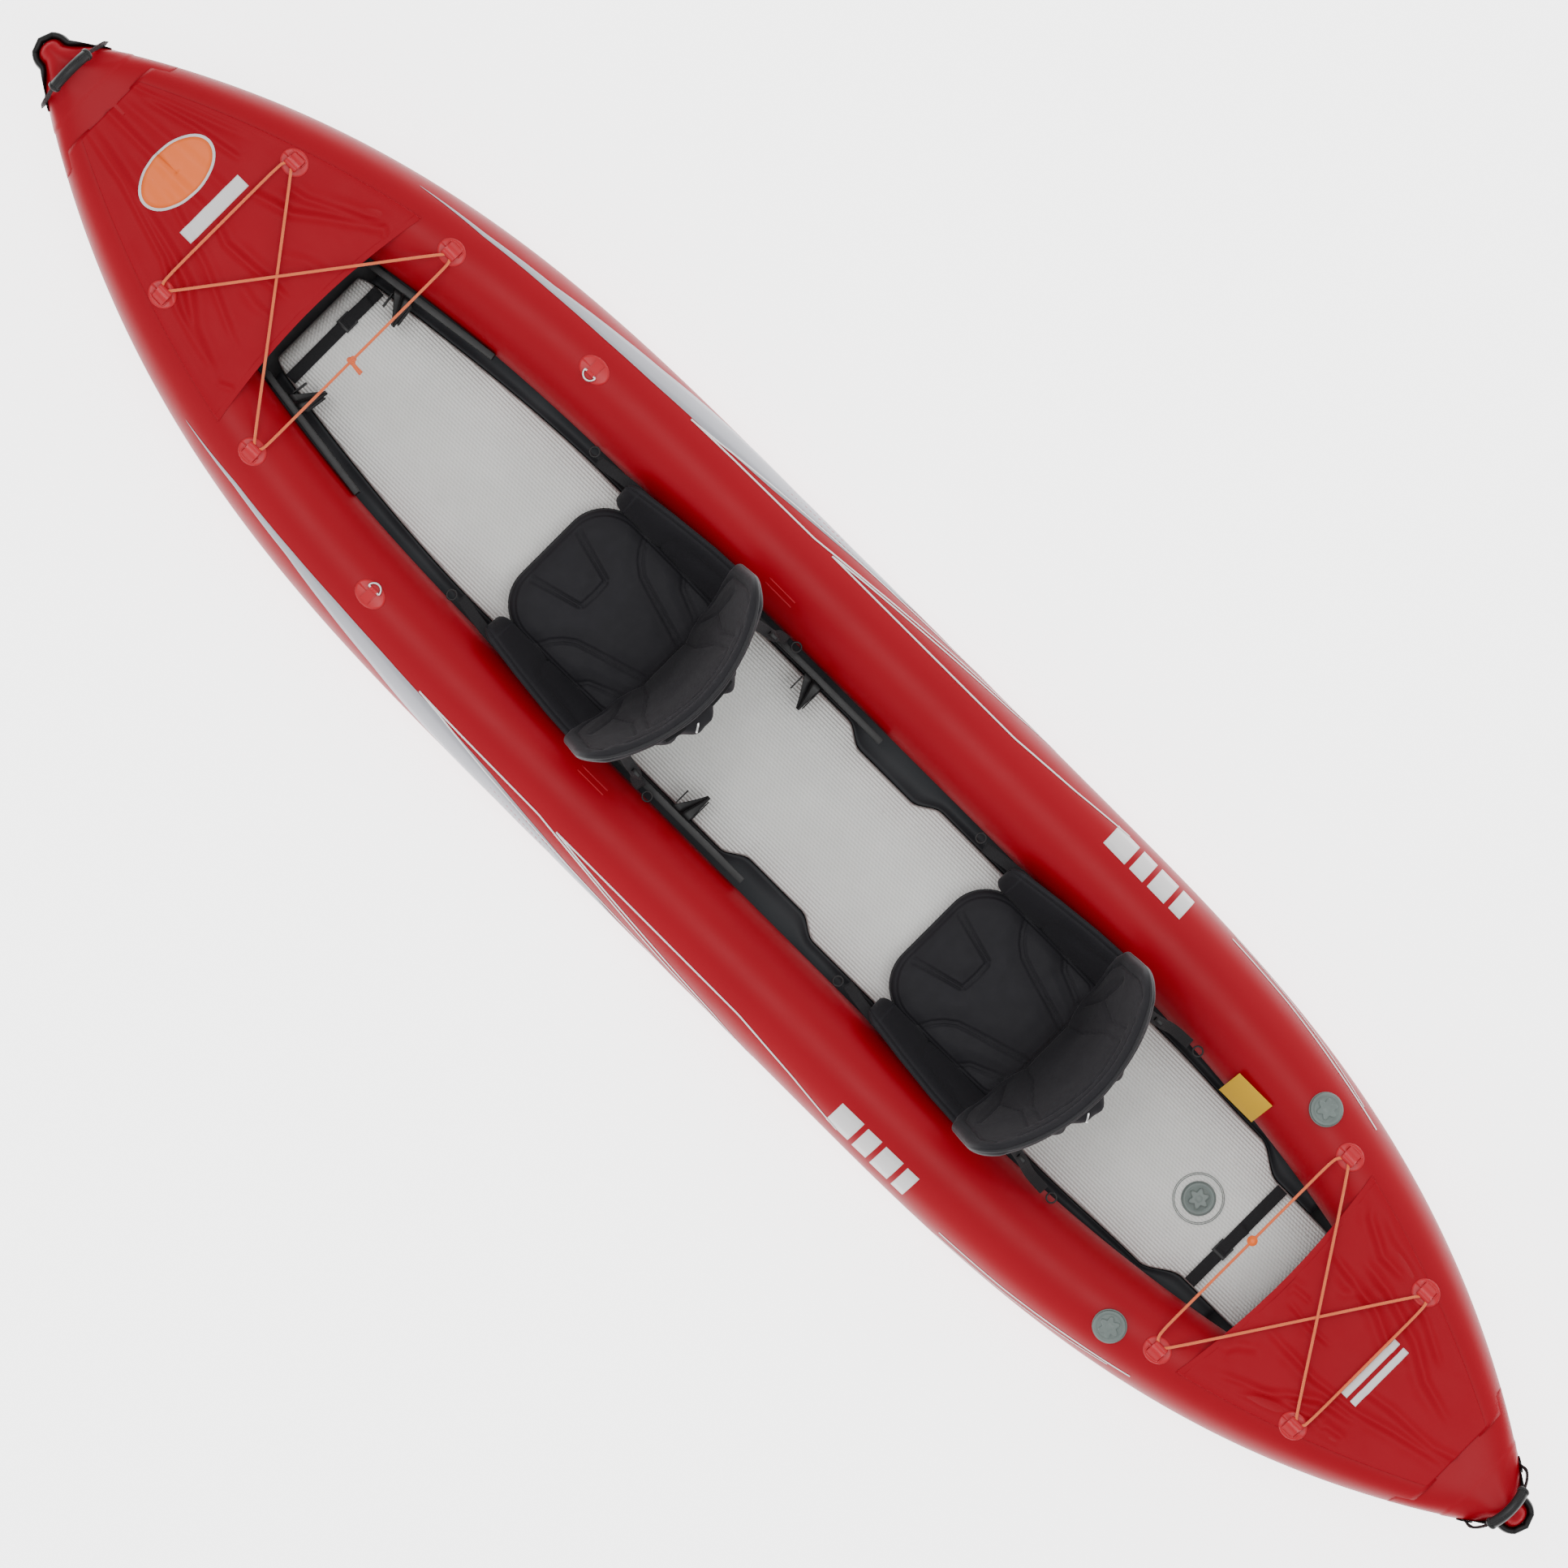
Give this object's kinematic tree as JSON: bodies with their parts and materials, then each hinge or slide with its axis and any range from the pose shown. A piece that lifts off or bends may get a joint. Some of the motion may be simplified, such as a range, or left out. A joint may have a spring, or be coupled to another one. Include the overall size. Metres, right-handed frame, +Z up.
{
  "type": "inflatable tandem kayak",
  "caption": "Open inflatable tandem kayak with two side tubes, a drop-stitch floor, two strapped seats with folding backs, foot braces, decks, bungees, valves and carry handles.",
  "frame": {"origin": "under the middle of the boat, on the ground", "axes": "+X to the bow, +Y to port, +Z up"},
  "size_m": [4.156, 0.86, 0.522],
  "materials": {
    "tube_skin": "smooth semi-gloss coated cloth",
    "deck_skin": "satin coated cloth",
    "bottom_skin": "dull coated cloth",
    "black_rubber": "satin",
    "floor_skin": "ribbed coated cloth",
    "thread": "bundled polyester",
    "sleeve_cloth": "dull coated cloth",
    "black_webbing": "woven",
    "black_plastic": "moulded",
    "orange_cord": "braided",
    "orange_plastic": "moulded",
    "steel": "polished",
    "valve_grey": "moulded",
    "white_plastic": "moulded",
    "seat_cloth": "laminated knit over foam",
    "yellow_label": "blank printed cloth"
  },
  "bodies": {
    "hull": {"port_tube": "tube_skin", "starboard_tube": "tube_skin", "bow_nose_cone": "tube_skin", "stern_nose_cone": "tube_skin", "bow_bumper": "black_rubber", "stern_bumper": "black_rubber", "bow_deck": "deck_skin", "stern_deck": "deck_skin", "bottom_sheet": "bottom_skin", "chine_strips": "bottom_skin", "bottom_end_panels": "bottom_skin", "fin_box": "black_plastic", "drop_stitch_floor": "floor_skin", "drop_stitch_threads": "thread", "floor_sleeves": "sleeve_cloth", "floor_straps": "black_webbing", "strap_buckles": "black_plastic", "foot_rails": "black_plastic", "bow_bungee": "orange_cord", "stern_bungee": "orange_cord", "bungee_anchors": "deck_skin", "cord_stoppers": "orange_plastic", "handle_patches": "black_rubber", "d_ring_tabs": "deck_skin", "valve_bodies": "valve_grey", "port_valve_spring": "steel", "starboard_valve_spring": "steel", "floor_valve_spring": "steel", "front_seat_cushion": "seat_cloth", "front_seat_wings": "seat_cloth", "front_seat_straps": "black_webbing", "rear_seat_cushion": "seat_cloth", "rear_seat_wings": "seat_cloth", "rear_seat_straps": "black_webbing", "seat_anchor_rings": "steel", "care_label": "yellow_label"},
    "bow_handle": {"bow_handle_strap": "black_webbing", "bow_handle_grip": "black_rubber"},
    "stern_handle": {"stern_handle_strap": "black_webbing", "stern_handle_grip": "black_rubber"},
    "port_ring": {"port_d_ring": "steel"},
    "starboard_ring": {"starboard_d_ring": "steel"},
    "port_cap": {"port_valve_cap": "valve_grey"},
    "port_plunger": {"port_valve_plunger": "white_plastic"},
    "starboard_cap": {"starboard_valve_cap": "valve_grey"},
    "starboard_plunger": {"starboard_valve_plunger": "white_plastic"},
    "floor_cap": {"floor_valve_cap": "valve_grey"},
    "floor_plunger": {"floor_valve_plunger": "white_plastic"},
    "bow_port_pedal": {"bow_port_pedal": "black_plastic"},
    "bow_port_release": {"bow_port_release": "black_plastic"},
    "bow_starboard_pedal": {"bow_starboard_pedal": "black_plastic"},
    "bow_starboard_release": {"bow_starboard_release": "black_plastic"},
    "mid_port_pedal": {"mid_port_pedal": "black_plastic"},
    "mid_port_release": {"mid_port_release": "black_plastic"},
    "mid_starboard_pedal": {"mid_starboard_pedal": "black_plastic"},
    "mid_starboard_release": {"mid_starboard_release": "black_plastic"},
    "front_seat_back": {"front_seat_back": "seat_cloth", "front_seat_pouch": "seat_cloth"},
    "rear_seat_back": {"rear_seat_back": "seat_cloth", "rear_seat_pouch": "seat_cloth"}
  },
  "joints": [
    {"name": "bow_handle_swing", "type": "hinge", "parent": "hull", "child": "bow_handle", "pos_m": [1.979, 0, 0.278], "axis": [0, 1, 0], "range_deg": [-22, 22]},
    {"name": "stern_handle_swing", "type": "hinge", "parent": "hull", "child": "stern_handle", "pos_m": [-1.982, 0, 0.254], "axis": [0, 1, 0], "range_deg": [0, 45]},
    {"name": "port_ring_swing", "type": "hinge", "parent": "hull", "child": "port_ring", "pos_m": [0.846, 0.303, 0.23531], "axis": [-1, 0, 0], "range_deg": [0, 150]},
    {"name": "starboard_ring_swing", "type": "hinge", "parent": "hull", "child": "starboard_ring", "pos_m": [0.846, -0.303, 0.23531], "axis": [1, 0, 0], "range_deg": [0, 150]},
    {"name": "port_cap_lift", "type": "slide", "parent": "hull", "child": "port_cap", "axis": [0, 0.1969, 0.9804], "range_m": [0, 0.07]},
    {"name": "port_plunger_press", "type": "slide", "parent": "hull", "child": "port_plunger", "axis": [0, -0.1969, -0.9804], "range_m": [0, 0.005], "stiffness_N_per_m": 400, "springref_m": -0.003, "deforming": ["port_valve_spring"]},
    {"name": "starboard_cap_lift", "type": "slide", "parent": "hull", "child": "starboard_cap", "axis": [0, -0.1969, 0.9804], "range_m": [0, 0.07]},
    {"name": "starboard_plunger_press", "type": "slide", "parent": "hull", "child": "starboard_plunger", "axis": [0, 0.1969, -0.9804], "range_m": [0, 0.005], "stiffness_N_per_m": 400, "springref_m": -0.003, "deforming": ["starboard_valve_spring"]},
    {"name": "floor_cap_lift", "type": "slide", "parent": "hull", "child": "floor_cap", "axis": [0, 0, 1], "range_m": [0, 0.07]},
    {"name": "floor_plunger_press", "type": "slide", "parent": "hull", "child": "floor_plunger", "axis": [0, 0, -1], "range_m": [0, 0.005], "stiffness_N_per_m": 400, "springref_m": -0.003, "deforming": ["floor_valve_spring"]},
    {"name": "bow_port_pedal_slide", "type": "slide", "parent": "hull", "child": "bow_port_pedal", "axis": [0.9901, -0.14, 0], "range_m": [-0.17, 0.11]},
    {"name": "bow_port_release_squeeze", "type": "hinge", "parent": "bow_port_pedal", "child": "bow_port_release", "pos_m": [1.244, 0.14082, 0.145], "axis": [0, 0, -1], "range_deg": [0, 12], "stiffness_Nm_per_rad": 0.5, "springref_deg": -5.73},
    {"name": "bow_starboard_pedal_slide", "type": "slide", "parent": "hull", "child": "bow_starboard_pedal", "axis": [0.9901, 0.14, 0], "range_m": [-0.17, 0.11]},
    {"name": "bow_starboard_release_squeeze", "type": "hinge", "parent": "bow_starboard_pedal", "child": "bow_starboard_release", "pos_m": [1.244, -0.14082, 0.145], "axis": [0, 0, 1], "range_deg": [0, 12], "stiffness_Nm_per_rad": 0.5, "springref_deg": -5.73},
    {"name": "mid_port_pedal_slide", "type": "slide", "parent": "hull", "child": "mid_port_pedal", "axis": [1, 0, 0], "range_m": [-0.12, 0.055]},
    {"name": "mid_port_release_squeeze", "type": "hinge", "parent": "mid_port_pedal", "child": "mid_port_release", "pos_m": [0.126, 0.178, 0.145], "axis": [0, 0, -1], "range_deg": [0, 12], "stiffness_Nm_per_rad": 0.5, "springref_deg": -5.73},
    {"name": "mid_starboard_pedal_slide", "type": "slide", "parent": "hull", "child": "mid_starboard_pedal", "axis": [1, 0, 0], "range_m": [-0.12, 0.055]},
    {"name": "mid_starboard_release_squeeze", "type": "hinge", "parent": "mid_starboard_pedal", "child": "mid_starboard_release", "pos_m": [0.126, -0.178, 0.145], "axis": [0, 0, 1], "range_deg": [0, 12], "stiffness_Nm_per_rad": 0.5, "springref_deg": -5.73},
    {"name": "front_back_fold", "type": "hinge", "parent": "hull", "child": "front_seat_back", "pos_m": [0.338, 0, 0.1718], "axis": [0, 1, 0], "range_deg": [0, 35], "deforming": ["front_seat_straps"]},
    {"name": "rear_back_fold", "type": "hinge", "parent": "hull", "child": "rear_seat_back", "pos_m": [-0.738, 0, 0.1718], "axis": [0, 1, 0], "range_deg": [0, 35], "deforming": ["rear_seat_straps"]}
  ]
}
